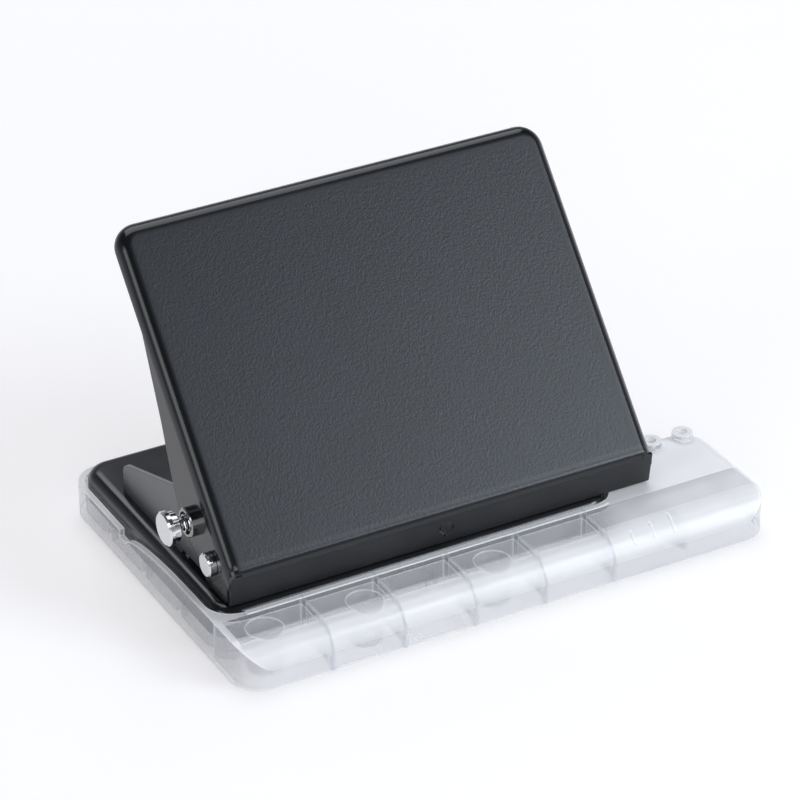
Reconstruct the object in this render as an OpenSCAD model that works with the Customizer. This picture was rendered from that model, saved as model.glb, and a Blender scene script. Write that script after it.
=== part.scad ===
// Desktop six-hole lever punch for ring planner paper.
// A folded sheet-steel handle turns on two side brackets and drives six sprung punches
// through a die plate. The steel base sits in a clear plastic tray that catches the chips.
// Millimetres, +Z up, +Y to the rear, origin on the table under the middle of the handle.
// The handle is drawn standing open, as it rests.

/* [Handle] */
// Width of the handle over its two cheeks
handle_w = 163.4; // [159:0.2:172]
// Length of the handle plate from the front fold to its far edge
handle_len = 123; // [110:1:132]
// Thickness of the sheet of the handle and the base pan
sheet = 1.2; // [1:0.1:1.4]
// Outside radius of the rolled edge round the handle plate
edge_r = 4.5; // [4.2:0.1:5]
// Plan radius of the two far corners of the handle plate
corner_r = 8.5; // [7.5:0.5:12]
// Tilt of the handle plate when it stands open, in degrees
open_tilt = 48.5; // [47:0.5:50]
// Angle that the handle turns through from open to shut, in degrees
swing = 38; // [32:1:38]
// Inside angle between the handle plate and its front lip, in degrees
lip_angle = 130; // [126:1:132]

/* [Hinge] */
// Height of the pivot above the base plate
pivot_h = 11.2; // [11:0.1:12]
// Distance of the pivot behind the front fold, along the plate
pivot_u = 7.6; // [7:0.1:9]
// Depth of the pivot under the top face of the plate
pivot_v = 10.8; // [10.4:0.1:11.6]
// Diameter of the pivot pins
pivot_d = 5; // [4:0.1:5.4]

/* [Punches] */
// Diameter of the punched holes
hole_d = 5.5; // [5:0.1:6]
// Spacing of the holes inside each group of three
hole_pitch = 19; // [18:0.1:19.2]
// Distance from the handle's side to the outermost hole
end_margin = 8.7; // [8.6:0.1:14]
// Distance from the pivot to the centre of the press nose
nose_arm = 13.3; // [12.8:0.1:13.8]
// Height of the paper throat
throat = 1.6; // [1.2:0.1:1.8]
// Distance from the paper's edge to the hole centres
edge_dist = 5.5; // [5:0.1:6]

/* [Base and tray] */
// Depth of the base pan, front to back
pan_d = 108.5; // [104:0.5:116]
// How far the base pan shows beyond each handle cheek
pan_margin = 4.6; // [4.6:0.1:7]
// Height of the base pan's top face above the table
plate_top = 18; // [17.4:0.1:20]
// Depth of the tray's front shelf, up to the base pan
shelf_d = 24; // [23:0.5:28]
// Width of the paper wing beyond the tray's right wall
wing_w = 26.4; // [24:0.2:34]
// Depth of the paper wing
wing_d = 52; // [50:0.5:54]
// Wall thickness of the tray
tray_wall = 2; // [1.8:0.1:2.2]

/* [Lock] */
// Diameter of the lock knob
knob_d = 12; // [11:0.2:13]
// Travel of the lock pin
lock_travel = 3.2; // [3:0.1:3.3]

/* [Hidden] */
$fn = 48;
eps = 0.01;

// Fits and clearances
side_gap = 0.3;
run_fit = 0.05;
pan_gap = 1;
lip_gap = 0.35;
cheek_gap = 0.9;
press_gap = 0.2;

// Tray and base
foot_h = 0.6;
pan_w = handle_w + 2 * pan_margin;
tray_x = pan_w / 2 + pan_gap + tray_wall;
tray_d = shelf_d + pan_d + pan_gap + tray_wall;
front_y = -tray_d / 2;
rear_y = tray_d / 2;
wing_x = tray_x + wing_w;
pan_y0 = front_y + shelf_d;
pan_y1 = pan_y0 + pan_d;
pan_r = 9;
pan_edge_r = 4.5;
pan_bottom = plate_top - 11.4;
notch_w = 20;
notch_x = pan_w / 2 - notch_w;
notch_d = 12;
deck_z = plate_top - 0.8;
deck_t = 1.8;
rim_rise = 0.3;
floor_t = 1.6;
tray_r = 11;
wing_r = 11;
wing_edge_r = 4.4;

// Apron: an arc from the top of the front wall up to the edge of the flat deck
apron_d = 9.1;
apron_z = 8.1;
apron_r = 14;
apron_chord = norm([apron_d, deck_z - apron_z]);
apron_dir = atan2(deck_z - apron_z, apron_d);
apron_drop = sqrt(apron_r * apron_r - apron_chord * apron_chord / 4);
apron_cy = front_y + apron_d / 2 + apron_drop * sin(apron_dir);
apron_cz = (apron_z + deck_z) / 2 - apron_drop * cos(apron_dir);

// Side walls: low at the rear, with a finger dip that rises to the deck in a quarter ellipse
rear_rim = plate_top - 4.9;
dip_z = plate_top - 7.8;
dip_y = front_y + 89;
step_run = 94;
step_y = front_y + step_run;
dip_start = front_y + 40;

// Moulded ribs and posts under the shelf, counted from the tray's left wall
rib_t = 1.6;
rib_first = 32.7;
rib_pitch = 27.1;
rib_n = 5;
post_d = 12.5;
posts = [[14.6, 14], [51, 12.3], [100, 12.6]];
bosses = [[wing_w / 2 - 7.6, 5.2], [wing_w / 2 + 5, 5.6]];
boss_d = 7.5;
pad_d = 10.5;
pad_t = 1.3;

// Pivot, lock and press positions in the side view
pivot = [pan_y0 + 13.6, plate_top + pivot_h];
shut_tilt = open_tilt - swing;
nose_low = 17;
nose_r = 3;
nose_flange = 5;
nose_open = pivot + nose_arm * [cos(nose_low + swing), sin(nose_low + swing)];
nose_shut = pivot + nose_arm * [cos(nose_low), sin(nose_low)];
stroke = nose_open[1] - nose_shut[1];
row_y = (nose_open[0] + nose_shut[0]) / 2;
lock_arm = 16.45;
lock_dir = 32.3;
lock_open = pivot + lock_arm * [cos(lock_dir), sin(lock_dir)];
lock_shut = pivot + lock_arm * [cos(lock_dir - swing), sin(lock_dir - swing)];

// Handle details, in the plate's own axes: u along the plate, v up from its top face
lip_dir = [cos(lip_angle), -sin(lip_angle)];
lip_in = [sin(lip_angle), cos(lip_angle)];
fold_r = 4.5;
fold_turn = 180 - lip_angle;
fold_t = fold_r * tan(fold_turn / 2);
fold_step = 0.03;
fold_at = [fold_t, -fold_r - fold_step];
fold_z = pivot_v * cos(open_tilt) - pivot_u * sin(open_tilt);
lip_len = (fold_z + pivot_h - lip_gap) / sin(lip_angle - open_tilt);
rim_h = edge_r + 0.5;
cheek_x = handle_w / 2;
flat_x = cheek_x - edge_r;
fold_half = flat_x - 0.06;
lip_half = cheek_x - 0.6;
lip_ear = 0.6;
mark_at = 0.29 * lip_len;
mark_w = 4.2;
mark_h = 5.6;
mark_slit = 0.8;
mark_tilt = 11;
cheek_h = pivot_h - cheek_gap;
cheek_run = 24;
kink = [[0.318, -21.1], [0.466, -14.1], [0.712, -4.7]];

// Brackets
pin_head = 2.8;
bracket_x = cheek_x - sheet - side_gap;
bracket_t = 1.5;
bracket_in = bracket_x - bracket_t;
bracket_rear = pan_y0 + 85;
bracket_rear_h = 10.5;
bracket_slope = 18.4;
ear_r = 7;
foot_w = 9;
rivet_d = 4;
rivet_head_d = 7;
rivet_head_h = 1.7;
rivet_tail_d = 6.4;
rivet_tail_h = 1;

// Punch line
rail_z = plate_top + throat;
rail_h = 5.2;
rail_front = 6;
rail_over = 0.8;
stop_y = row_y + edge_dist;
rail_foot = 9;
rail_foot_h = 4;
rail_half = bracket_in - 0.4;
seat_depth = 2;
seat_z = rail_z + rail_h - seat_depth;
seat_d = 8.8;
punch_top = nose_open[1] - nose_r - press_gap;
punch_head_d = 8.4;
punch_head_t = 2;
punch_tip = rail_z + 0.4;
die_t = 3;
die_top = plate_top - sheet;
screw_d = 4;
hole_gap = handle_w - 2 * end_margin - 4 * hole_pitch;
screw_inset = 9;
screw_x = [for (s = [-1, 1], k = [0, 1]) s * (hole_gap / 2 - screw_inset + k * 2 * hole_pitch)];
rivet_y = [bracket_rear - 38, bracket_rear - 10];
hole_x = [for (s = [-1, 1], k = [0:2]) s * (hole_gap / 2 + k * hole_pitch)];

// Lock pin, measured outward from the cheek's outer face
bush_d = 10.4;
bush_t = 2.7;
bush_floor = 0.6;
bush_stem_d = 6;
lock_gap = 3.4;
lock_seat = bush_t + lock_gap - bush_floor;
drum_h = 2.5;
knob_h = 2.2;
shank_d = 3.2;
tip_d = 4.2;
grip_n = 10;

// Springs
wire = 0.7;
coil_r = 3.6;
coil_turns = 5;
lock_wire = 0.5;
lock_coil_r = 2.9;
lock_turns = 3;
rings = 8;
sides = 6;

// A side-view point, measured from the pivot, in the plate's own axes
function on_plate(p) = [
    pivot_u + p[0] * cos(open_tilt) + p[1] * sin(open_tilt),
    -pivot_v - p[0] * sin(open_tilt) + p[1] * cos(open_tilt)
];

// A corner b between a and c, rounded to radius r with short chords
function round_corner(a, b, c, r, n = 6) =
    let (
        p = (a - b) / norm(a - b),
        q = (c - b) / norm(c - b),
        half = acos(p * q) / 2,
        centre = b + (p + q) / norm(p + q) * r / sin(half),
        start = b + p * r / tan(half),
        turn = sign(p[0] * q[1] - p[1] * q[0]) * (180 - 2 * half),
        d = start - centre
    )
    [for (i = [0:n]) let (w = -turn * i / n)
        centre + [d[0] * cos(w) - d[1] * sin(w), d[0] * sin(w) + d[1] * cos(w)]];

// A closed outline of [point, radius] corners
function rounded(list) = [
    for (i = [0:len(list) - 1])
        let (a = list[(i + len(list) - 1) % len(list)], b = list[i], c = list[(i + 1) % len(list)])
        each b[1] > 0 ? round_corner(a[0], b[0], c[0], b[1]) : [b[0]]
];

// Extrudes a side-view outline along X
module along_x(length) {
    rotate([90, 0, 90]) linear_extrude(length) children();
}

// Stands a turned piece on the left cheek's outer face, pointing out to the left
module on_left_cheek(at) {
    translate([-cheek_x, at[0], at[1]]) rotate([0, -90, 0]) children();
}

// Sets a piece drawn in the plate's axes on the handle as it stands open
module on_handle() {
    translate([0, pivot[0], pivot[1]]) rotate([open_tilt, 0, 0]) translate([0, -pivot_u, pivot_v]) children();
}

// Rectangle with round corners
module plan_rect(x0, y0, x1, y1, r) {
    translate([x0 + r, y0]) square([x1 - x0 - 2 * r, y1 - y0]);
    translate([x0, y0 + r]) square([x1 - x0, y1 - y0 - 2 * r]);
    for (x = [x0 + r, x1 - r], y = [y0 + r, y1 - r]) translate([x, y]) circle(r);
}

// Upright section from a to b whose two top corners are rolled over; its top is at zero
module rolled_section(a, b, h, r) {
    translate([a + r, -h]) square([b - a - 2 * r, h]);
    translate([a, -h]) square([b - a, h - r]);
    intersection() {
        for (x = [a + r, b - r]) translate([x, -r]) circle(r);
        translate([a, -h]) square([b - a, h]);
    }
}

// Slab with round plan corners and a rolled top edge all round; its top is at zero
module rolled_slab(x0, y0, x1, y1, h, corner, r) {
    translate([0, y1 - corner, 0]) rotate([90, 0, 0]) linear_extrude(y1 - y0 - 2 * corner)
        rolled_section(x0, x1, h, r);
    translate([x0 + corner, 0, 0]) along_x(x1 - x0 - 2 * corner) rolled_section(y0, y1, h, r);
    for (x = [x0 + corner, x1 - corner], y = [y0 + corner, y1 - corner])
        translate([x, y, 0]) rotate_extrude() intersection() {
            rolled_section(-corner, corner, h, r);
            translate([0, -h]) square([corner, h]);
        }
}

// Tray

// Plan of the tray: main body with the paper wing at the front right
module tray_plan(inset) {
    plan_rect(-tray_x + inset, front_y + inset, tray_x - inset, rear_y - inset, tray_r - inset);
    plan_rect(0, front_y + inset, wing_x - inset, front_y + wing_d - inset, wing_r - inset);
}

// Plan of the base pan, grown by g: a rectangle with its front right corner stepped back
module pan_plan(g) {
    plan_rect(-pan_w / 2 - g, pan_y0 - g, notch_x + g, pan_y1 + g, pan_r + g);
    plan_rect(-pan_w / 2 - g, pan_y0 + notch_d - g, pan_w / 2 + g, pan_y1 + g, pan_r + g);
}

// What lies above the apron's arc, set in by a wall thickness
module above_apron(inset) {
    along_x(3 * wing_x) difference() {
        translate([front_y - 1, apron_z]) square([apron_d + 1, deck_z]);
        translate([apron_cy, apron_cz]) circle(apron_r - inset, $fn = 96);
    }
}

// What is rounded off the wing's right-hand edge
module wing_edge() {
    corner_x = wing_x - wing_r;
    corner_y = [front_y + wing_r, front_y + wing_d - wing_r];
    translate([wing_x - wing_edge_r, corner_y[1], deck_z - wing_edge_r]) rotate([90, 0, 0])
        linear_extrude(corner_y[1] - corner_y[0]) edge_corner();
    translate([tray_x, front_y + wing_d - wing_edge_r, deck_z - wing_edge_r]) along_x(corner_x - tray_x) edge_corner();
    for (i = [0, 1]) translate([corner_x, corner_y[i], deck_z - wing_edge_r]) intersection() {
        rotate_extrude() translate([wing_r - wing_edge_r, 0]) edge_corner();
        translate([0, (i - 1) * 2 * wing_r, 0]) cube(2 * wing_r);
    }
}

// What a rolled edge takes off a square corner
module edge_corner() {
    difference() {
        square(2 * wing_edge_r);
        circle(wing_edge_r);
    }
}

// Side-view cut that shapes a side wall's rim from start to the rear
module rim_cut(start) {
    polygon(concat(
        [[rear_y + 5, rear_rim], [rear_y + 5, plate_top + 9], [start, plate_top + 9]],
        [for (i = [0:8]) [start + (dip_y - start) * sin(11.25 * i), dip_z + (deck_z - dip_z) * cos(11.25 * i)]],
        [[step_y, dip_z], [step_y, rear_rim]]
    ));
}

// Ribs, posts and the curved end wall that stay in the hollow under the shelf and wing
module shelf_ribs() {
    for (i = [0:rib_n - 1])
        translate([-tray_x + rib_first + i * rib_pitch - rib_t / 2, front_y, 3]) cube([rib_t, shelf_d, 30]);
    for (p = posts) translate([-tray_x + p[0], front_y + p[1], 0]) cylinder(d = post_d, h = 30);
    translate([notch_x - 3, front_y + shelf_d - pan_gap - tray_wall - 18.4, 3]) intersection() {
        difference() {
            cylinder(r = 19, h = 30);
            translate([0, 0, -1]) cylinder(r = 19 - rib_t, h = 32);
        }
        cube([20, 20, 30]);
    }
    for (y = [24, 37]) translate([notch_x, front_y + y - rib_t / 2, 3]) cube([wing_x, rib_t, 30]);
    translate(concat(boss_at(1), 0)) cylinder(d = post_d, h = 30);
}

function boss_at(i) = [tray_x + bosses[i][0], front_y + wing_d - bosses[i][1]];

function pad_at(i) =
    i < 3 ? [-tray_x + posts[i][0], front_y + posts[i][1]]
    : i == 3 ? boss_at(1)
    : i == 6 ? [0, 0]
    : [(i == 4 ? -1 : 1) * (tray_x - 16), rear_y - 16];

// Ledges inside the tray that carry the lower edge of the base pan
module pan_ledges() {
    h = pan_bottom - foot_h;
    for (s = [-1, 1], y = [-0.5, 0, 0.5])
        translate([s * (pan_w / 2 - 0.2) - 1.6, y * pan_d / 2 + 10, foot_h]) cube([3.2, 4, h]);
    for (x = [-0.6, 0, 0.6]) {
        translate([x * pan_w / 2, pan_y1 - 1.6, foot_h]) cube([4, 3.2, h]);
        translate([x * pan_w / 2 - 8, pan_y0 - 1.6, foot_h]) cube([4, 3.2, h]);
    }
}

module chip_tray() {
    color([0.86, 0.88, 0.91, 0.6]) difference() {
        union() {
            difference() {
                translate([0, 0, foot_h]) linear_extrude(deck_z - foot_h) tray_plan(0);
                translate([-wing_x, 0, 0]) above_apron(0);
                wing_edge();
                translate([0, 0, foot_h + floor_t]) linear_extrude(40) pan_plan(pan_gap);
                difference() {
                    linear_extrude(deck_z - deck_t) difference() {
                        tray_plan(tray_wall);
                        pan_plan(pan_gap + tray_wall);
                    }
                    translate([-wing_x, 0, 0]) above_apron(tray_wall);
                    shelf_ribs();
                }
                translate([-tray_x - 1, 0, 0]) along_x(tray_x + 1) rim_cut(dip_start);
                along_x(tray_x + 1) rim_cut(front_y + wing_d + 4);
            }
            translate([0, 0, deck_z - 1]) linear_extrude(1 + rim_rise) intersection() {
                difference() {
                    pan_plan(pan_gap + tray_wall);
                    pan_plan(pan_gap);
                }
                translate([-tray_x + 12, front_y]) square([tray_x + notch_x - 16, shelf_d]);
            }
            for (i = [0, 1]) translate(concat(boss_at(i), deck_z - 1)) cylinder(d = boss_d, h = 3.4);
            pan_ledges();
            size_marks();
        }
        for (i = [0, 1]) translate(concat(boss_at(i), deck_z)) cylinder(d = 3.6, h = 10);
        for (i = [0:6]) translate(concat(pad_at(i), 0)) cylinder(d = pad_d + 0.2, h = pad_t);
        for (p = posts)
            translate([-tray_x + p[0], front_y + p[1], 0]) cylinder(d = 8.5, h = apron_z - 2);
    }
}

// Three plain raised marks on the apron for setting the paper
module size_marks() {
    for (i = [0:2]) intersection() {
        translate([notch_x - 6 + i * 8, front_y + 2, apron_z]) cube([0.9, 3.5 + i, 9]);
        translate([-wing_x, apron_cy, apron_cz]) rotate([0, 90, 0]) difference() {
            cylinder(r = apron_r + 0.25, h = 3 * wing_x, $fn = 96);
            translate([0, 0, -1]) cylinder(r = apron_r - 1, h = 3 * wing_x + 2, $fn = 96);
        }
    }
}

module foot_pad(i) {
    color([0.2, 0.2, 0.21]) translate(concat(pad_at(i - 1), 0)) rotate_extrude()
        polygon([[0, 0], [pad_d / 2 - 0.4, 0], [pad_d / 2, 0.4], [pad_d / 2, pad_t], [0, pad_t]]);
}

// Base

// The two overlapping slabs of the base pan, inset by one sheet thickness for the inside
module pan_body(inset, h) {
    translate([0, 0, plate_top - inset]) {
        rolled_slab(-pan_w / 2 + inset, pan_y0 + inset, notch_x - inset, pan_y1 - inset,
            h, pan_r - inset, pan_edge_r - inset);
        rolled_slab(-pan_w / 2 + inset, pan_y0 + notch_d + inset, pan_w / 2 - inset, pan_y1 - inset,
            h, pan_r - inset, pan_edge_r - inset);
    }
}

module base_pan() {
    color([0.09, 0.09, 0.1]) difference() {
        pan_body(0, plate_top - pan_bottom);
        pan_body(sheet, plate_top);
        for (x = hole_x) translate([x, row_y, pan_bottom]) cylinder(d = hole_d + 0.8, h = plate_top);
        for (x = screw_x) translate([x, stop_y + rail_foot / 2, pan_bottom]) cylinder(d = screw_d + 0.2, h = plate_top);
        for (s = [-1, 1], y = rivet_y)
            translate([s * (bracket_in - foot_w / 2), y, pan_bottom]) cylinder(d = rivet_d, h = plate_top);
    }
}

module die_plate() {
    color([0.55, 0.56, 0.58]) difference() {
        translate([-rail_half, row_y - 6.5, die_top - die_t]) cube([2 * rail_half, 7 + edge_dist + rail_foot, die_t]);
        for (x = hole_x) translate([x, row_y, die_top - die_t - 1]) cylinder(d = hole_d + 0.1, h = die_t + 2);
        for (x = hole_x) translate([x, row_y, die_top - die_t - eps]) cylinder(d1 = hole_d + 1.6, d2 = hole_d, h = 1);
        for (x = screw_x)
            translate([x, stop_y + rail_foot / 2, die_top - die_t - 1]) cylinder(d = screw_d, h = die_t + 2);
    }
}

// Side view of a bracket: a fin whose front edge lies along the shut handle
function stop_z(y) = pivot[1] + (pivot_v - rolled_depth) / cos(shut_tilt) - 0.4 + (y - pivot[0]) * tan(shut_tilt);
rolled_dx = edge_r - sheet - side_gap;
rolled_depth = edge_r - sqrt(pow(edge_r - sheet, 2) - rolled_dx * rolled_dx);
rear_top = plate_top + bracket_rear_h;
apex_y = (rear_top + bracket_rear * tan(bracket_slope) - stop_z(0)) / (tan(shut_tilt) + tan(bracket_slope));

module bracket_outline() {
    low = rail_z + 0.2;
    foot_y = stop_y + rail_foot + 2;
    polygon(rounded([
        [[pivot[0], pivot[1] + ear_r], 0],
        [[pivot[0] + 2, stop_z(pivot[0] + 2) - 0.3], 0],
        [[apex_y, stop_z(apex_y)], 4],
        [[bracket_rear, rear_top], 5],
        [[bracket_rear, plate_top], 0],
        [[foot_y, plate_top], 0],
        [[foot_y, low], 1],
        [[pivot[0] + 3, low], 2],
        [[pivot[0], pivot[1] - ear_r], 0]
    ]));
    translate(pivot) circle(ear_r);
}

// A cut through the upright plate of a bracket, drawn in the side view round a point
module through_bracket(at) {
    translate([bracket_in - bracket_t, at[0], at[1]]) along_x(3 * bracket_t) children();
}

// A bracket drawn for the right-hand side: upright plate with an inward foot
module bracket(locked) {
    difference() {
        union() {
            translate([bracket_in, 0, 0]) along_x(bracket_t) bracket_outline();
            translate([bracket_in - foot_w, rivet_y[0] - 7, plate_top])
                cube([foot_w + eps, rivet_y[1] - rivet_y[0] + 14, bracket_t]);
        }
        through_bracket(pivot) circle(d = pivot_d);
        for (y = rivet_y)
            translate([bracket_in - foot_w / 2, y, plate_top - bracket_t]) cylinder(d = rivet_d, h = 3 * bracket_t);
        if (locked) {
            through_bracket(lock_shut) circle(d = tip_d + 0.6);
            through_bracket(lock_open) circle(d = tip_d + 1);
            through_bracket(lock_open) translate([-tip_d / 2 - 0.5, 0]) square([tip_d + 1, lock_arm]);
        }
    }
}

module bracket_left() {
    color([0.09, 0.09, 0.1]) mirror([1, 0, 0]) bracket(true);
}

module bracket_right() {
    color([0.09, 0.09, 0.1]) bracket(false);
}

module bracket_rivet(i) {
    x = (i < 3 ? -1 : 1) * (bracket_in - foot_w / 2);
    color([0.6, 0.61, 0.63]) translate([x, rivet_y[(i - 1) % 2], plate_top]) rotate_extrude() polygon([
        [0, -sheet - rivet_tail_h], [rivet_tail_d / 2 - 0.2, -sheet - rivet_tail_h], [rivet_tail_d / 2, -sheet],
        [rivet_d / 2, -sheet], [rivet_d / 2, bracket_t], [rivet_head_d / 2, bracket_t],
        [0.9 * rivet_head_d / 2, bracket_t + 0.65 * rivet_head_h],
        [0.45 * rivet_head_d / 2, bracket_t + rivet_head_h], [0, bracket_t + rivet_head_h]
    ]);
}

// Punches

module guide_rail() {
    color([0.62, 0.63, 0.65]) difference() {
        union() {
            translate([-rail_half, row_y - rail_front, rail_z]) cube([2 * rail_half, rail_front + edge_dist + rail_over, rail_h]);
            translate([-rail_half, stop_y, plate_top]) cube([2 * rail_half, rail_foot, rail_foot_h]);
        }
        for (x = hole_x) {
            translate([x, row_y, rail_z - 1]) cylinder(d = hole_d + 2 * run_fit, h = rail_h + 2);
            translate([x, row_y, seat_z]) cylinder(d = seat_d, h = rail_h);
        }
        for (x = screw_x) translate([x, stop_y + rail_foot / 2, plate_top - 1]) cylinder(d = screw_d + 0.2, h = plate_top);
        translate([-rail_half - 1, row_y - rail_front, rail_z]) rotate([45, 0, 0]) cube([2 * rail_half + 2, 1, 1], true);
    }
}

module rail_screw(i) {
    color([0.6, 0.61, 0.63])
    translate([screw_x[i - 1], stop_y + rail_foot / 2, plate_top + rail_foot_h]) difference() {
        rotate_extrude() polygon([
            [0, -rail_foot_h - sheet - die_t], [screw_d / 2, -rail_foot_h - sheet - die_t], [screw_d / 2, 0],
            [3.4, 0], [3.4, 1.6], [2.8, 2.3], [0, 2.3]
        ]);
        translate([-5, -0.5, 1.3]) cube([10, 1, 2]);
    }
}

module punch(i) {
    color([0.7, 0.71, 0.73]) translate([hole_x[i - 1], row_y, 0]) difference() {
        rotate_extrude() polygon([
            [0, punch_tip], [hole_d / 2, punch_tip], [hole_d / 2, punch_top - punch_head_t],
            [punch_head_d / 2, punch_top - punch_head_t], [punch_head_d / 2, punch_top - 0.5],
            [punch_head_d / 2 - 0.5, punch_top], [0, punch_top]
        ]);
        translate([-5, 0, punch_tip - 3]) rotate([0, 90, 0]) cylinder(r = 3.8, h = 10);
    }
}

// Springs: one swept tube each, with a straight end at both ends

function coil_point(r, rise, k) = [r * cos(360 * k / rings), r * sin(360 * k / rings), rise * k / rings];
function coil_dir(r, rise, k) =
    let (d = [-sin(360 * k / rings), cos(360 * k / rings), rise / (2 * PI * r)]) d / norm(d);
function coil_path(r, rise, turns, lead) = concat(
    [coil_point(r, rise, 0) - lead * coil_dir(r, rise, 0)],
    [for (k = [0:rings * turns]) coil_point(r, rise, k)],
    [coil_point(r, rise, rings * turns) + lead * coil_dir(r, rise, rings * turns)]
);
function coil_gap(path, d) = min([
    for (i = [0:len(path) - 1], j = [i + 5:1:len(path) - 1]) norm(path[i] - path[j]) - d
]);

module coil(r, d, length, turns) {
    rise = (length - d - 2 * d * (length - d) / turns / 2 / PI / r) / turns;
    path = coil_path(r, rise, turns, d);
    lift = -path[0][2] + d / 2;
    last = len(path) - 1;
    points = [
        for (i = [0:last], s = [0:sides - 1])
            let (
                k = min(max(i - 1, 0), rings * turns),
                t = coil_dir(r, rise, k),
                n = [cos(360 * k / rings), sin(360 * k / rings), 0],
                b = cross(t, n)
            )
            path[i] + [0, 0, lift] + d / 2 * (n * cos(360 * s / sides) + b * sin(360 * s / sides))
    ];
    wall = [
        for (i = [0:last - 1], s = [0:sides - 1], h = [0, 1])
            let (a = i * sides + s, b = i * sides + (s + 1) % sides)
            h == 0 ? [a, a + sides, b] : [b, a + sides, b + sides]
    ];
    caps = [
        for (s = [1:sides - 2], h = [0, 1])
            h == 0 ? [0, s, s + 1] : [last * sides, last * sides + s + 1, last * sides + s]
    ];
    echo(str("least gap of a coil to itself: ", coil_gap(path, d), " mm"));
    polyhedron(points, concat(wall, caps), convexity = 6);
}

module punch_spring(i) {
    color([0.75, 0.76, 0.78]) translate([hole_x[i - 1], row_y, seat_z])
        coil(coil_r, wire, punch_top - punch_head_t - seat_z, coil_turns);
}

// Handle

// Cheek outline in the plate's axes: front edge behind the lip, a lower edge that clears the base
// at both ends of the swing, then two kinks up to the rolled rim
function cheek_front(s) = s * lip_dir + (sheet + 0.5) * lip_in;
function lip_mid(s) = s * lip_dir + sheet / 2 * lip_in;
cheek_low = on_plate(cheek_h * [tan(swing / 2), -1]);
cheek_back = on_plate(cheek_h * [tan(swing / 2), -1] + cheek_run * [cos(swing), sin(swing)]);

module cheek_outline() {
    top = -edge_r - 0.1;
    start = cheek_front((-top + (sheet + 0.5) * lip_in[1]) / -lip_dir[1]);
    polygon(rounded(concat(
        [[start, 0], [cheek_front(lip_len - 0.3), 1], [cheek_low, 2], [cheek_back, 4]],
        [for (k = kink) [[k[0] * handle_len, k[1]], 6]],
        [[[kink[2][0] * handle_len + 8, top], 0]]
    )));
}

// Plate with its rolled rim, open at the front fold
module handle_plate() {
    difference() {
        rolled_slab(-cheek_x, -30, cheek_x, handle_len, rim_h, corner_r, edge_r);
        translate([0, 0, -sheet]) rolled_slab(-cheek_x + sheet, -40, cheek_x - sheet, handle_len - sheet,
            rim_h, corner_r - sheet, edge_r - sheet);
        translate([-fold_half, -60, -20]) cube([2 * fold_half, 60 + fold_t, 40]);
        translate([-cheek_x - 1, 0, 0]) along_x(2 * cheek_x + 2) {
            polygon([lip_mid(-9), lip_mid(40), [-90, -40], [-90, 9]]);
            difference() {
                polygon([fold_at, [fold_t, 2], [-4, 2], fold_at + 1.6 * (fold_t * lip_dir - fold_at)]);
                translate(fold_at) circle(fold_r);
            }
        }
    }
}

// Front fold and lip; the lip's ends stand up to the fold's corners, and a pointer is pressed out at its centre
module handle_lip() {
    lap = 2;
    translate([-fold_half, 0, 0]) along_x(2 * fold_half) intersection() {
        translate(fold_at) difference() {
            circle(fold_r);
            circle(fold_r - sheet);
        }
        translate(fold_at) polygon([
            [0, 0], 9 * [sin(lap), cos(lap)], [-9, 9], 9 * [-sin(fold_turn + lap), cos(fold_turn + lap)]
        ]);
    }
    rotate([-lip_angle, 0, 0]) {
        difference() {
            linear_extrude(sheet) polygon(concat(
                [for (s = [-1, 1]) [s * lip_half, lip_len]],
                [[lip_half, lip_ear], [fold_half - eps, lip_ear], [fold_half - eps, fold_t]],
                [[-fold_half + eps, fold_t], [-fold_half + eps, lip_ear], [-lip_half, lip_ear]]
            ));
            translate([0, mark_at, -1]) linear_extrude(sheet + 2)
                pointer(mark_w + 2 * mark_slit, mark_h + 1.6 * mark_slit, 0.3);
        }
        translate([0, mark_at, 0]) rotate([-mark_tilt, 0, 0]) linear_extrude(sheet - 0.2) pointer(mark_w, mark_h, 0);
    }
}

// Five-sided pointer with its tip away from zero; it starts at a share of its height
module pointer(w, h, from) {
    polygon([[-w / 2, from * h], [w / 2, from * h], [w / 2, 0.5 * h], [0, h], [-w / 2, 0.5 * h]]);
}

module handle() {
    color([0.1, 0.1, 0.11]) on_handle() difference() {
        union() {
            handle_plate();
            handle_lip();
            for (x = [-cheek_x, cheek_x - sheet]) translate([x, 0, 0]) along_x(sheet) cheek_outline();
        }
        translate([-cheek_x - 1, pivot_u, -pivot_v]) rotate([0, 90, 0])
            cylinder(d = pivot_d + 2 * run_fit, h = 2 * cheek_x + 2);
        translate(concat(-cheek_x - 1, on_plate(lock_open - pivot))) rotate([0, 90, 0]) cylinder(d = bush_stem_d, h = sheet + 2);
    }
}

// Formed channel under the plate whose round nose bears on the punch heads
module press_channel() {
    n = on_plate(nose_open - pivot);
    half = bracket_in - 0.8;
    color([0.3, 0.31, 0.33]) on_handle() translate([-half, 0, 0]) along_x(2 * half) difference() {
        union() {
            translate(n) circle(nose_r);
            translate(n - [nose_r, 0]) square([2 * nose_r, -sheet - n[1]]);
            translate([n[0] - nose_r - nose_flange, -2 * sheet]) square([2 * (nose_r + nose_flange), sheet]);
        }
        translate(n) circle(nose_r - sheet);
        translate(n - [nose_r - sheet, 0]) square([2 * (nose_r - sheet), -n[1]]);
    }
}

// Headed pin through a cheek and its bracket, closed over inside
module pivot_pin(head) {
    inner = -sheet - side_gap - bracket_t;
    rotate_extrude() polygon([
        [0, inner - 1], [3.2, inner - 1], [3.6, inner - 0.4], [3.6, inner], [pivot_d / 2, inner], [pivot_d / 2, 0.15],
        [4.2, 0.15], [4.2, head - 0.4], [3.8, head], [0, head]
    ]);
}

module pivot_pin_left() {
    color([0.8, 0.81, 0.82]) on_left_cheek(pivot) pivot_pin(pin_head);
}

module pivot_pin_right() {
    color([0.8, 0.81, 0.82]) mirror([1, 0, 0]) on_left_cheek(pivot) pivot_pin(pin_head / 2);
}

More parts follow.
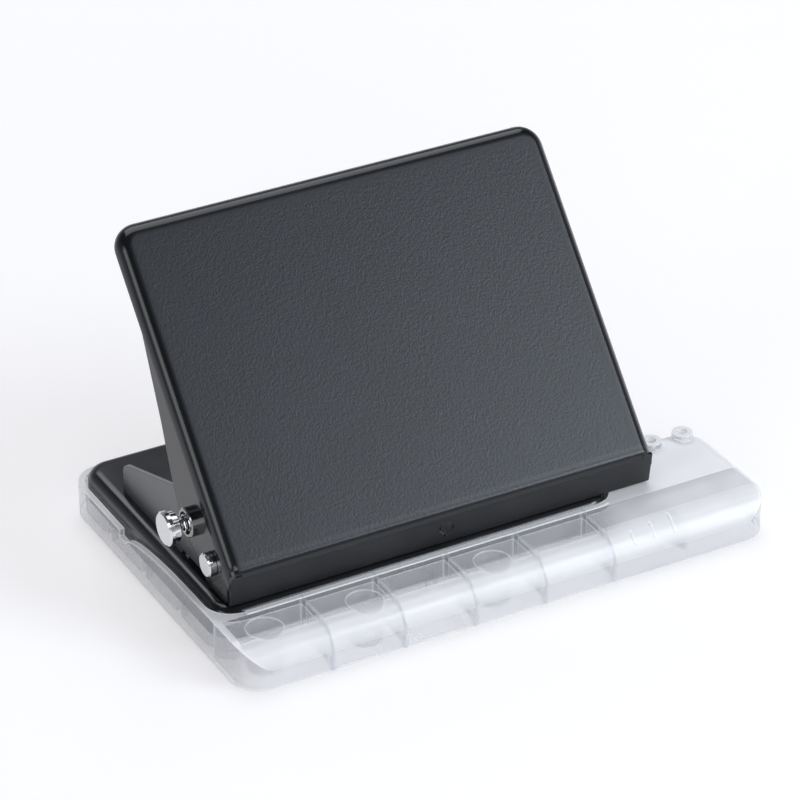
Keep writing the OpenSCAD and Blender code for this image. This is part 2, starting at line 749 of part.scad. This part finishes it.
// Cupped bush set in the left cheek; the cup seats the spring, a pocket inside stops the pin's tip
module lock_bush() {
    color([0.8, 0.81, 0.82]) on_left_cheek(lock_open) rotate_extrude() polygon([
        [shank_d / 2 + run_fit, 0.2], [tip_d / 2 + 0.1, 0.2], [tip_d / 2 + 0.1, -sheet], [bush_stem_d / 2, -sheet],
        [bush_stem_d / 2, 0], [bush_d / 2, 0], [bush_d / 2, bush_t - 0.4], [bush_d / 2 - 0.4, bush_t], [lock_coil_r + 1.1, bush_t],
        [lock_coil_r + 1.1, bush_floor], [shank_d / 2 + run_fit, bush_floor]
    ]);
}

// Lock pin: tip, shank, fluted drum and flat round knob
module lock_pin() {
    drum = bush_t + lock_gap;
    top = drum + drum_h + knob_h;
    color([0.82, 0.83, 0.84]) on_left_cheek(lock_open) difference() {
        rotate_extrude() polygon([
            [0, -sheet], [tip_d / 2 - 0.4, -sheet], [tip_d / 2, -sheet + 0.4], [tip_d / 2, 0], [shank_d / 2, 0],
            [shank_d / 2, drum], [knob_d / 2 - 1.2, drum], [knob_d / 2 - 0.7, drum + 0.5],
            [knob_d / 2 - 0.7, drum + drum_h], [knob_d / 2, drum + drum_h + 0.3], [knob_d / 2, top - 0.6],
            [knob_d / 2 - 0.6, top], [0, top]
        ]);
        for (i = [0:grip_n - 1]) rotate(360 / grip_n * i)
            translate([knob_d / 2 - 0.2, 0, drum - 1]) cylinder(r = 0.9, h = drum_h + 1);
    }
}

module lock_spring() {
    color([0.75, 0.76, 0.78]) on_left_cheek(lock_open) translate([0, 0, bush_floor])
        coil(lock_coil_r, lock_wire, lock_seat, lock_turns);
}

chip_tray();
base_pan();
die_plate();
bracket_left();
bracket_right();
guide_rail();
pivot_pin_left();
pivot_pin_right();
handle();
press_channel();
lock_bush();
lock_pin();
lock_spring();
for (i = [1:7]) foot_pad(i);
for (i = [1:4]) bracket_rivet(i);
for (i = [1:4]) rail_screw(i);
for (i = [1:6]) punch(i);
for (i = [1:6]) punch_spring(i);
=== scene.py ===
# %% [markdown]
# # A six-hole lever punch
# The punch makes the holes for a ring planner. A folded black steel handle turns on two brackets and
# presses six sprung punches through a steel base, and the base sits in a frosted tray that catches the
# paper chips. All the solids come from the CAD model, so this lesson is about light and finish.

# %% Load the solids
import math

import bpy
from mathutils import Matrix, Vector


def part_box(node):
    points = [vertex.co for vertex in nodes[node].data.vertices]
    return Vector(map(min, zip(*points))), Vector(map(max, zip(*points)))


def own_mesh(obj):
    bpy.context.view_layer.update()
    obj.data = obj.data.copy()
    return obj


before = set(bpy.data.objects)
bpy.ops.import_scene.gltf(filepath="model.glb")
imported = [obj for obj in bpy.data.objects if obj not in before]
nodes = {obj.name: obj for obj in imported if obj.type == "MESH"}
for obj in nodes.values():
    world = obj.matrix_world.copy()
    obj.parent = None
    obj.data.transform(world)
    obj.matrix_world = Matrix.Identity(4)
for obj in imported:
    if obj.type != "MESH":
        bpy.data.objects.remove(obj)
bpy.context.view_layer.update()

# %% [markdown]
# ## The camera
# A long lens from far away keeps the tray's sides nearly parallel, as in a catalogue picture. The camera
# stands to the front left and looks down at about 31 degrees. Placing it by angles is simpler than a
# track-to constraint, and nothing then moves it by itself.

# %% Camera
CAMERA_PLACE = (-0.55056, -1.00405, 0.73585)
CAMERA_PITCH, CAMERA_TURN = math.radians(59.17), math.radians(-28.99)
SENSOR_MM, LENS_MM = 36, 176.2

camera_data = bpy.data.cameras.new("camera")
camera = bpy.data.objects.new("camera", camera_data)
bpy.context.scene.collection.objects.link(camera)
camera.location = CAMERA_PLACE
camera.rotation_euler = (CAMERA_PITCH, 0, CAMERA_TURN)
camera_data.sensor_width, camera_data.lens = SENSOR_MM, LENS_MM
camera_data.clip_start, camera_data.clip_end = 0.05, 20
bpy.context.scene.camera = camera
print("camera to origin in mm:", round(1000 * camera.location.length))

# %% [markdown]
# ## Helpers for finishes
# Every finish is a small graph of nodes that ends in one Principled shader. The first helper makes the shader
# and returns a function that adds a node and wires it in one go, which keeps the finishes short. The others
# stand for the sums that come up again and again. Coordinates are the object's own, in metres, so a pattern
# keeps its size and rides with its piece.

# %% Finish helper
def new_finish(name, **sockets):
    """A material, a function that adds a wired node to it, and one that wires its Principled shader."""
    finish = bpy.data.materials.new(name)
    finish.use_nodes = True
    tree = finish.node_tree
    shader = tree.nodes["Principled BSDF"]
    for socket, value in sockets.items():
        shader.inputs[socket.replace("_", " ")].default_value = value

    def add(kind, settings=None, **inputs):
        node = tree.nodes.new("ShaderNode" + kind)
        for key, value in (settings or {}).items():
            setattr(node, key, value)
        for key, value in inputs.items():
            socket = node.inputs[int(key[1:]) if key[1:].isdigit() else key.replace("_", " ")]
            if isinstance(value, bpy.types.NodeSocket):
                tree.links.new(value, socket)
            else:
                socket.default_value = value
        return node

    def to_shader(**inputs):
        for key, value in inputs.items():
            tree.links.new(value, shader.inputs[key.replace("_", " ")])

    return finish, add, to_shader


print("finish helper ready")

# %% Sums and shades
# A noise texture seldom leaves this range, so shades and spreads are set out over it.
NOISE_LOW, NOISE_HIGH = 0.3, 0.7


def calc(add, operation, *values, clamp=False):
    """The result of one arithmetic node."""
    inputs = {f"_{place}": value for place, value in enumerate(values)}
    return add("Math", {"operation": operation, "use_clamp": clamp}, **inputs).outputs["Value"]


def dot(add, one, other):
    """How far one vector points along another."""
    return add("VectorMath", {"operation": "DOT_PRODUCT"}, _0=one, _1=other).outputs["Value"]


def spread(add, value, low, high, start=NOISE_LOW, end=NOISE_HIGH):
    """Maps a value that runs from start to end to the range from low to high."""
    limits = {"From_Min": start, "From_Max": end, "To_Min": low, "To_Max": high}
    return add("MapRange", Value=value, **limits).outputs["Result"]


def shades(add, value, dark, light):
    """A colour between two shades."""
    ramp = add("ValToRGB", Fac=value)
    first, last = ramp.color_ramp.elements
    first.position, last.position = NOISE_LOW, NOISE_HIGH
    first.color, last.color = (*dark, 1), (*light, 1)
    return ramp.outputs["Color"]


print("sums and shades ready")

# %% [markdown]
# ## Parts of the handle
# The broad face of the handle has a fine leathery powder grain. The rolled edges, the lip and the cheeks are
# smoother, because the coat flows out where the sheet bends. One finish can do both: the surface's own normal
# says whether it lies on the broad face or on the lip, and its place says how near the face's edges it is.

# %% Parts of the handle
PLATE_TILT = math.radians(48.5)
PLATE_UP = Vector((0, -math.sin(PLATE_TILT), math.cos(PLATE_TILT)))
PLATE_ALONG = Vector((0, math.cos(PLATE_TILT), math.sin(PLATE_TILT)))
FLAT_ON, FACE_TURN = 0.9999, (0.97, 0.998)
COOL_SHEEN = (0.95, 0.975, 1.0, 1)

plate = nodes["handle"].data
half_width = max(v.co.x for v in plate.vertices)
rim_top = max(PLATE_ALONG.dot(v.co) for v in plate.vertices)
face_points = [
    plate.vertices[i].co
    for polygon in plate.polygons if polygon.normal.dot(PLATE_UP) > FLAT_ON
    for i in polygon.vertices
]
fold = min(PLATE_ALONG.dot(point) for point in face_points)

handle_coat, add, to_shader = new_finish("grained_black_coat", IOR=1.5, Specular_Tint=COOL_SHEEN)
where = add("TexCoord")
on_face = spread(add, dot(add, where.outputs["Normal"], PLATE_UP), 0.0, 1.0, *FACE_TURN)
across = calc(add, "ABSOLUTE", add("SeparateXYZ", Vector=where.outputs["Object"]).outputs["X"])
along = dot(add, where.outputs["Object"], PLATE_ALONG)
print("fold to rim in mm:", round(1000 * (rim_top - fold), 1), "half width:", round(1000 * half_width, 1))

# %% [markdown]
# ## Grain and drawn edge
# Soft Voronoi cells with a ripple on them make the grain, which runs out over the last millimetres before
# the face's edges. The sheet is drawn in there before it bends. A shallow bump gives that slow curve: it
# turns the reflection away from the lamp, which leaves a soft dark border, and draws a thin light line at
# the front fold.

# %% Grain and drawn edge
GRAIN_SCALE, RIPPLE_SCALE, RIPPLE_SHARE = 1300.0, 900.0, 1.8
GRAIN_HEIGHT, BARE_DEPTH, GRAIN_DEPTH = 0.00022, 0.01, 0.125
SIDE_RUN_OUT, TOP_RUN_OUT, BARE_EDGE = 0.008, 0.009, 0.003
LEAD_IN, LEAD_DROP, FOLD_IN, FOLD_SHARE = 0.0055, 0.00045, 0.0022, 0.7
SOFT_EDGE = 0.0004

grain = add(
    "TexVoronoi", {"feature": "SMOOTH_F1"}, Vector=where.outputs["Object"], Scale=GRAIN_SCALE, Smoothness=0.65
)
ripple = add("TexNoise", Vector=where.outputs["Object"], Scale=RIPPLE_SCALE, Detail=2.0, Roughness=0.5)
height = calc(add, "MULTIPLY_ADD", ripple.outputs["Fac"], RIPPLE_SHARE, grain.outputs["Distance"])
off_sides = spread(add, across, 1.0, 0.0, half_width - SIDE_RUN_OUT, half_width - BARE_EDGE)
off_top = spread(add, along, 1.0, 0.0, rim_top - TOP_RUN_OUT, rim_top - BARE_EDGE)
grained = calc(add, "MULTIPLY", on_face, calc(add, "MULTIPLY", off_sides, off_top))
depth = spread(add, grained, BARE_DEPTH, GRAIN_DEPTH, 0.0, 1.0)

side_fall = spread(add, across, 0.0, 1.0, half_width - LEAD_IN, half_width)
top_fall = spread(add, along, 0.0, 1.0, rim_top - LEAD_IN, rim_top)
fold_fall = spread(add, along, FOLD_SHARE, 0.0, fold, fold + FOLD_IN)
side_drop = calc(add, "MULTIPLY", side_fall, side_fall)
round_drop = calc(add, "MULTIPLY_ADD", top_fall, top_fall, side_drop)
drop = calc(add, "MULTIPLY_ADD", fold_fall, fold_fall, round_drop)

rounded = add("Bevel", {"samples": 6}, Radius=SOFT_EDGE).outputs["Normal"]
drawn = add("Bump", {"invert": True}, Strength=1.0, Distance=LEAD_DROP, Height=drop, Normal=rounded)
bump = add("Bump", Strength=depth, Distance=GRAIN_HEIGHT, Height=height, Normal=drawn.outputs["Normal"])
print("grain and edge of", handle_coat.name)

# %% [markdown]
# ## Colour and sheen of the handle
# The coat is a cool near-black. The grained face scatters the lamp to a grey sheen and the lip is duller
# still. The rolled edges and the pointer that is pressed out of the lip are the smoothest. The colour holds
# painted light too: the grained face is lighter, a painted sheen, and the rolled edges, the lip, the cheeks
# and the face's bare border are darker, a painted shade that deepens their dark reflections. A slow cloud
# keeps the black from looking like one flat colour.

# %% Colour and sheen
LIP_OUT, LIP_TURN = (0, -0.989, -0.148), (0.985, 0.998)
EDGE_ROUGH, FACE_ROUGH, LIP_ROUGH = 0.18, 0.38, 0.42
CLOUD_TONE, PAINTED_SHEEN_AND_SHADE = (0.3, 0.42), 0.28
COAT_DARK, COAT_LIGHT = (0.005, 0.0056, 0.007), (0.014, 0.016, 0.0202)

lip_dull = spread(add, dot(add, where.outputs["Normal"], LIP_OUT), EDGE_ROUGH, LIP_ROUGH, *LIP_TURN)
dull = calc(add, "MULTIPLY_ADD", on_face, FACE_ROUGH - EDGE_ROUGH, lip_dull)
cloud = add("TexNoise", Vector=where.outputs["Object"], Scale=22.0, Detail=2.0)
drift = spread(add, cloud.outputs["Fac"], *CLOUD_TONE)
# Painted sheen and shade: the grained face gets the lighter colour; the rolled edges, lip, cheeks and the
# face's bare border get the darker one.
tone_with_painted_light = calc(add, "MULTIPLY_ADD", grained, PAINTED_SHEEN_AND_SHADE, drift)
to_shader(
    Base_Color=shades(add, tone_with_painted_light, COAT_DARK, COAT_LIGHT),
    Roughness=dull,
    Normal=bump.outputs["Normal"],
)
print("finish:", handle_coat.name)

# %% [markdown]
# ## Base coat
# The base and its brackets carry a thinner and glossier coat, so the knob shows in the base's side. A fine
# ripple in the coat keeps those reflections from looking like glass. The brackets are greyer: their lighter
# colour is a painted sheen on the same black coat.

# %% Base coat
def smooth_black(name, dark, light, low, high):
    """A glossy coat between two shades, with a roughness from low to high."""
    finish, add, to_shader = new_finish(name, IOR=1.7, Specular_Tint=COOL_SHEEN)
    where = add("TexCoord").outputs["Object"]
    orange_peel = add("TexNoise", Vector=where, Scale=420.0, Detail=2.0, Roughness=0.5).outputs["Fac"]
    rounded = add("Bevel", {"samples": 6}, Radius=SOFT_EDGE).outputs["Normal"]
    bump = add("Bump", Strength=0.06, Distance=0.0001, Height=orange_peel, Normal=rounded)
    cloud = add("TexNoise", Vector=where, Scale=30.0, Detail=2.0).outputs["Fac"]
    to_shader(
        Base_Color=shades(add, cloud, dark, light),
        Roughness=spread(add, cloud, low, high),
        Normal=bump.outputs["Normal"],
    )
    return finish


base_coat = smooth_black("gloss_black_coat", (0.006, 0.0062, 0.0075), (0.009, 0.0093, 0.011), 0.16, 0.24)
# Painted sheen: the brackets' coat is a lighter grey than the base's, for the light it catches.
bracket_coat = smooth_black("satin_black_painted_sheen", (0.055, 0.057, 0.065), (0.06, 0.062, 0.07), 0.24, 0.32)
print("finishes:", base_coat.name, bracket_coat.name)

# %% [markdown]
# ## Frosted tray
# The tray is a moulded milky plastic, thin enough to see its ribs and posts from above. Real refraction in
# such thin walls costs many bounces and keeps the lamps out of the hollow, which turns it grey. A shader
# that lets part of the light straight through is simpler: each skin is a pale film, and where two or three
# skins overlap the plastic looks whiter, as milky plastic does. The level faces are polished and clear. The
# upright and sloping ones have the mould's matt texture, so the film is denser there. A slow cloud in it
# stands for the flow of the mould.

# %% Frosted tray
WALL_FILM, SIDE_FILM, SLOPE_GAIN, POLISH_LOSS, FLOW_GAIN = 0.32, 0.35, 0.3, -0.49, 0.03
SQUARE_ON, SLOPING = (0.8, 0.98), (0.1, 0.6)

tray_plastic, add, to_shader = new_finish("frosted_plastic", IOR=1.5)
where = add("TexCoord")
frost = add("TexNoise", Vector=where.outputs["Object"], Scale=1600.0, Detail=2.0, Roughness=0.6)
bump = add("Bump", Strength=0.06, Distance=0.0001, Height=frost.outputs["Fac"])
flow = add("TexNoise", Vector=where.outputs["Object"], Scale=35.0, Detail=2.0).outputs["Fac"]
film = spread(add, flow, -FLOW_GAIN, FLOW_GAIN)

axes = add("SeparateXYZ", Vector=where.outputs["Normal"])
level = calc(add, "ABSOLUTE", axes.outputs["Z"])
sideways = calc(add, "ABSOLUTE", axes.outputs["X"])
side = spread(add, sideways, WALL_FILM, SIDE_FILM, *SQUARE_ON)
slope = spread(add, level, 0.0, SLOPE_GAIN, *SLOPING)
matt = calc(add, "ADD", side, slope)
polish = spread(add, level, 0.0, POLISH_LOSS, *SQUARE_ON)
print("plastic film on walls and slopes:", WALL_FILM, SIDE_FILM, WALL_FILM + SLOPE_GAIN)

# %% [markdown]
# ## Rim, wing and ribs
# Some places differ from the rest. The tray's rim is thick and stays milky on its level top, the wing is
# less polished than the shelf, and the feet under the shelf are the clearest. Where a rib backs the shelf's
# skin, the plastic is solid and the film denser, and a greyer line is painted there as shade along the rib.
# Edges get a denser film and a whiter colour, a painted highlight: a Bevel node finds them, since its
# softened normal differs from the true one only there.

# %% Rim, wing and ribs
RIB_FIRST, RIB_LAST, RIB_PITCH = -0.0566, 0.0518, 0.0271
RIB_SIDES, RIB_REACH = (0.0004, 0.0008), 0.002
SHELF_BACK, WING_START, RIM_LEFT, RIM_LOW = -0.0445, 0.05, -0.0868, 0.0095
RIM_BACK, WING_FADE, FOOT_TOP = SHELF_BACK - 0.0025, WING_START + 0.014, 0.0016
WING_POLISH, RIM_POLISH, FOOT_POLISH = 0.35, -1.1, 0.25
EDGE_REACH, EDGE_FILM, EDGE_TURN = 0.0013, 0.75, (0.8, 0.99)

place = add("SeparateXYZ", Vector=where.outputs["Object"])
off_wing = spread(add, place.outputs["X"], 1.0, WING_POLISH, WING_START, WING_FADE)
rim_left = calc(add, "LESS_THAN", place.outputs["X"], RIM_LEFT)
rim_round = calc(add, "GREATER_THAN", place.outputs["Y"], RIM_BACK)
rim_high = calc(add, "GREATER_THAN", place.outputs["Z"], RIM_LOW)
on_rim = calc(add, "MULTIPLY", calc(add, "MAXIMUM", rim_left, rim_round), rim_high)
milky = calc(add, "MULTIPLY_ADD", on_rim, RIM_POLISH, off_wing)
on_shelf = calc(add, "LESS_THAN", place.outputs["Y"], SHELF_BACK)
on_foot = calc(add, "MULTIPLY", calc(add, "LESS_THAN", place.outputs["Z"], FOOT_TOP), on_shelf)
clear = calc(add, "MULTIPLY_ADD", on_foot, FOOT_POLISH, milky)

from_first = calc(add, "SUBTRACT", place.outputs["X"], RIB_FIRST)
from_rib = calc(add, "PINGPONG", from_first, RIB_PITCH / 2)
backed = spread(add, from_rib, 1.0, 0.0, *RIB_SIDES)
middle_x, half_row = (RIB_FIRST + RIB_LAST) / 2, (RIB_LAST - RIB_FIRST) / 2
among_ribs = calc(add, "COMPARE", place.outputs["X"], middle_x, half_row + RIB_REACH)
rib = calc(add, "MULTIPLY", backed, calc(add, "MULTIPLY", among_ribs, on_shelf))

softened = add("Bevel", {"samples": 6}, Radius=EDGE_REACH)
flat = dot(add, softened.outputs["Normal"], add("NewGeometry").outputs["Normal"])
edge = spread(add, flat, EDGE_FILM, 0.0, *EDGE_TURN)
print("ribs under the shelf:", round((RIB_LAST - RIB_FIRST) / RIB_PITCH) + 1)

# %% [markdown]
# ## The plastic's mix
# The film's density goes to the shader's alpha, and its shade follows the same masks. That shade is painted
# light: upright walls are greyer than level faces and sideways walls greyer still, a painted shade, as are
# the rib lines; edges are whiter, a painted highlight. A ray may cross a dozen skins here, and Blender stops
# at eight unless it is told otherwise.

# %% The plastic's mix
SKINS_CROSSED, RIB_FILM = 24, 0.35
WALL_SHADE_TONE, LEVEL_TONE, LEVELLING = 0.5, 0.7, (0.1, 0.5)
RIB_PAINTED_SHADE, SIDE_PAINTED_SHADE, EDGE_PAINTED_HIGHLIGHT = -0.4, -0.13, 0.5
MILK_GREY, MILK_WHITE = (0.62, 0.635, 0.68), (0.96, 0.965, 0.98)

skin = calc(add, "MULTIPLY_ADD", polish, clear, matt)
clouded = calc(add, "ADD", skin, film)
edged = calc(add, "ADD", clouded, edge)
dense = calc(add, "MULTIPLY_ADD", rib, RIB_FILM, edged, clamp=True)

# Painted shade: upright walls are greyer than level faces, and walls that face sideways greyer still.
upright = spread(add, level, WALL_SHADE_TONE, LEVEL_TONE, *LEVELLING)
# Painted shade: a greyer line where each rib backs the skin.
rib_shade = calc(add, "MULTIPLY_ADD", rib, RIB_PAINTED_SHADE, upright)
side_shade = spread(add, sideways, 0.0, SIDE_PAINTED_SHADE, *SQUARE_ON)
shaded = calc(add, "ADD", rib_shade, side_shade)
# Painted highlight: edges get a whiter colour on top of their denser film.
tone_with_painted_light = calc(add, "MULTIPLY_ADD", edge, EDGE_PAINTED_HIGHLIGHT, shaded)
to_shader(
    Base_Color=shades(add, tone_with_painted_light, MILK_GREY, MILK_WHITE),
    Roughness=spread(add, flow, 0.16, 0.24),
    Alpha=dense,
    Normal=bump.outputs["Normal"],
)
bpy.context.scene.cycles.transparent_max_bounces = SKINS_CROSSED
print("finish:", tray_plastic.name)

# %% [markdown]
# ## Bright pins
# The lock knob, its darker bush and the hinge pins are turned and polished. A lathe leaves fine rings round
# each pin's axis, which runs along X. They are far too small to model, so they are a wave in the bump.

# %% Bright pins
PIN_SHADE = (0.66, 0.665, 0.675)


def turned_finish(name, centre, shade, low, high):
    """Polished metal with lathe rings round a centre, and a roughness from low to high."""
    finish, add, to_shader = new_finish(name, Metallic=1.0)
    where = add("TexCoord").outputs["Object"]
    local = add("VectorMath", {"operation": "SUBTRACT"}, _0=where, _1=centre)
    rings = add(
        "TexWave", {"wave_type": "RINGS", "rings_direction": "X"},
        Vector=local.outputs["Vector"], Scale=900.0, Distortion=0.3, Detail=1.0,
    )
    bump = add("Bump", Strength=0.02, Distance=0.00003, Height=rings.outputs["Fac"])
    cloud = add("TexNoise", Vector=where, Scale=500.0, Detail=2.0).outputs["Fac"]
    dark = tuple(0.94 * v for v in shade)
    to_shader(
        Base_Color=shades(add, cloud, dark, shade),
        Roughness=spread(add, cloud, low, high),
        Normal=bump.outputs["Normal"],
    )
    return finish


def middle(node):
    """The middle of a node's box."""
    low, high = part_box(node)
    return (low + high) / 2


pin_finishes = {
    "lock_pin": turned_finish("bright_lock", middle("lock_pin"), (0.72, 0.725, 0.735), 0.08, 0.14),
    "lock_bush": turned_finish("bright_bush", middle("lock_pin"), (0.3, 0.303, 0.31), 0.1, 0.16),
    "pivot_pin_left": turned_finish("bright_pivot", middle("pivot_pin_left"), PIN_SHADE, 0.12, 0.2),
    "pivot_pin_right": turned_finish("bright_pivot_right", middle("pivot_pin_right"), PIN_SHADE, 0.12, 0.2),
}
print("turned finishes:", len(pin_finishes))

# %% [markdown]
# ## Inner steel
# The die plate is ground, with long scratches along X. A noise that is stretched along X gives them. The
# rail and the press channel are near-black steel, a painted shade, so that the slit behind the lip stays
# dark and no bright steel shows there. The punches are ground lengthwise, the fixings are dull zinc and the
# springs are drawn wire.

# %% Inner steel
def ground_steel(name, shade, stretch, low, high):
    """Metal with scratches along the axis whose stretch is small, and a roughness from low to high."""
    finish, add, to_shader = new_finish(name, Metallic=1.0)
    along = add("Mapping", Vector=add("TexCoord").outputs["Object"], Scale=stretch)
    noise = add("TexNoise", Vector=along.outputs["Vector"], Scale=900.0, Detail=3.0, Roughness=0.6)
    scratch = noise.outputs["Fac"]
    bump = add("Bump", Strength=0.12, Distance=0.00004, Height=scratch)
    dark = tuple(0.82 * v for v in shade)
    to_shader(
        Base_Color=shades(add, scratch, dark, shade),
        Roughness=spread(add, scratch, low, high),
        Normal=bump.outputs["Normal"],
    )
    return finish


rail_steel = ground_steel("ground_steel", (0.58, 0.59, 0.6), (0.04, 1, 1), 0.26, 0.42)
punch_steel = ground_steel("punch_steel", (0.64, 0.65, 0.66), (1, 1, 0.06), 0.18, 0.3)
# Painted shade: the rail and the press channel are near-black so the slit behind the lip stays dark.
shade_dark_steel = ground_steel("dark_steel_painted_shade", (0.085, 0.087, 0.093), (0.04, 1, 1), 0.34, 0.5)
zinc = ground_steel("zinc_plate", (0.66, 0.67, 0.69), (1, 1, 1), 0.3, 0.46)
wire_steel = ground_steel("spring_wire", (0.7, 0.71, 0.73), (0.3, 1, 1), 0.16, 0.28)
print("steels:", [steel.name for steel in (rail_steel, punch_steel, shade_dark_steel, zinc, wire_steel)])

# %% [markdown]
# ## Foot pads
# The pads under the tray are clear rubber. A dark pad would show through the plastic as a spot.

# %% Foot pads
foot_rubber, add, to_shader = new_finish("clear_foot_rubber", IOR=1.45)
pores = add("TexNoise", Vector=add("TexCoord").outputs["Object"], Scale=1400.0, Detail=3.0).outputs["Fac"]
bump = add("Bump", Strength=0.3, Distance=0.0001, Height=pores)
to_shader(
    Base_Color=shades(add, pores, (0.84, 0.845, 0.86), (0.89, 0.895, 0.91)),
    Roughness=spread(add, pores, 0.4, 0.6),
    Alpha=spread(add, pores, 0.03, 0.06),
    Normal=bump.outputs["Normal"],
)
print("finish:", foot_rubber.name)

# %% [markdown]
# ## Give each solid its finish
# The nodes' names say what they are, so the finish follows from the start of the name. Nothing is left with
# the plain colour that the CAD model had.

# %% Assign finishes
by_name = [
    ("handle", handle_coat), ("base_pan", base_coat), ("bracket_rivet", zinc), ("bracket", bracket_coat),
    ("chip_tray", tray_plastic), ("foot_pad", foot_rubber), ("rail_screw", zinc), ("die_plate", rail_steel),
    ("guide_rail", shade_dark_steel), ("press_channel", shade_dark_steel), ("punch_spring", wire_steel), ("punch", punch_steel),
    ("lock_spring", wire_steel),
]
for name, solid in nodes.items():
    finish = pin_finishes.get(name) or next(f for start, f in by_name if name.startswith(start))
    solid.data.materials.clear()
    solid.data.materials.append(finish)
print("finished solids:", len(nodes))

# %% [markdown]
# ## Springs with meshes of their own
# When the handle comes down, each punch spring is pressed to a shorter length, and so is the lock's spring
# when the knob is pushed. Here each spring only gets a mesh of its own, apart from the others.

# %% Springs
punch_springs = sorted(name for name in nodes if name.startswith("punch_spring"))

for name in punch_springs:
    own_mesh(nodes[name])
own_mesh(nodes["lock_spring"])

# %% [markdown]
# ## Floor
# The floor is a plain pale sheet that takes the soft shadow. A little light of its own, seen by the camera
# and in mirrors and glass only, lifts it to the white of the backdrop and lights nothing.

# %% Floor
FLOOR_SIZE, FLOOR_DROP, FLOOR_LIFT = 12, 0.0001, 0.43
FLOOR_TINT = (1, 0.98, 0.985, 1)

bpy.ops.mesh.primitive_plane_add(size=FLOOR_SIZE, location=(0, 0, -FLOOR_DROP))
floor = bpy.context.object
floor.name = "floor"
floor_finish, add, to_shader = new_finish(
    "pale_floor", Roughness=0.9, Specular_IOR_Level=0.1, Emission_Color=FLOOR_TINT
)
cloud = add("TexNoise", Vector=add("TexCoord").outputs["Object"], Scale=0.7)
seen = add("LightPath")
mirrored = calc(add, "MAXIMUM", seen.outputs["Is Glossy Ray"], seen.outputs["Is Transmission Ray"])
shown = calc(add, "MAXIMUM", seen.outputs["Is Camera Ray"], mirrored)
to_shader(
    Base_Color=shades(add, cloud.outputs["Fac"], (0.665, 0.665, 0.68), (0.675, 0.675, 0.69)),
    Emission_Strength=calc(add, "MULTIPLY", shown, FLOOR_LIFT),
)
floor.data.materials.append(floor_finish)
print("floor:", floor.name)

# %% [markdown]
# ## The room
# A pale room all round the horizon with a dim ceiling. Rolled black edges need that difference: they show the
# ceiling as a dark band and the horizon as a thin bright line. A colour ramp on the height of each direction
# gives it in a few nodes, with no picture of a room.

# %% World
ROOM_TINT = (0.9, 0.905, 1.0)
ROOM_LEVELS = {0.02: 0.6, 0.25: 0.35, 0.6: 0.07}  # brightness by the height of a direction

world = bpy.data.worlds.new("studio")
bpy.context.scene.world = world
world.use_nodes = True
tree = world.node_tree
direction = tree.nodes.new("ShaderNodeTexCoord")
parts = tree.nodes.new("ShaderNodeSeparateXYZ")
ramp = tree.nodes.new("ShaderNodeValToRGB")
ramp.color_ramp.elements.new(0.5)
for stop, (rise, brightness) in zip(ramp.color_ramp.elements, ROOM_LEVELS.items()):
    stop.position = rise
    stop.color = (*(brightness * tint for tint in ROOM_TINT), 1)
tree.links.new(direction.outputs["Generated"], parts.inputs["Vector"])
tree.links.new(parts.outputs["Z"], ramp.inputs["Fac"])
tree.links.new(ramp.outputs["Color"], tree.nodes["Background"].inputs["Color"])
print("world:", world.name, "levels:", ROOM_LEVELS)

# %% [markdown]
# ## Lamps
# A big lamp over the rear lights the tray and draws a line along the handle's top edge. A second one stands
# at the front right, where the handle's face nearly mirrors it, and gives the black coat its grey sheen. A
# small one on the left draws the line along the left edge, and a low one in front lights the tray's apron
# and the lip.

# %% Lamps
WHITE = (1, 1, 1)
LAMP_TARGET = Vector((0, 0, 0.03))
LAMPS = {  # place, size in metres, watts and tint
    "overhead": ((0.3, 1.0, 1.9), 2.0, 27, (0.95, 0.97, 1.0)),
    "front_right": ((1.28, -1.36, 1.02), 1.05, 24, (0.88, 0.94, 1.0)),
    "left_strip": ((-1.5, -0.45, 0.75), 0.7, 4, WHITE),
    "front_low": ((-0.8, -1.85, 0.6), 1.3, 14, WHITE),
}

for name, (stand, size, watts, tint) in LAMPS.items():
    data = bpy.data.lights.new(name, "AREA")
    data.shape, data.size, data.energy, data.color = "SQUARE", size, watts, tint
    lamp = bpy.data.objects.new(name, data)
    bpy.context.scene.collection.objects.link(lamp)
    lamp.location = stand
    lamp.rotation_euler = (LAMP_TARGET - Vector(stand)).to_track_quat("-Z", "Y").to_euler()
bpy.context.scene.view_settings.view_transform = "Standard"
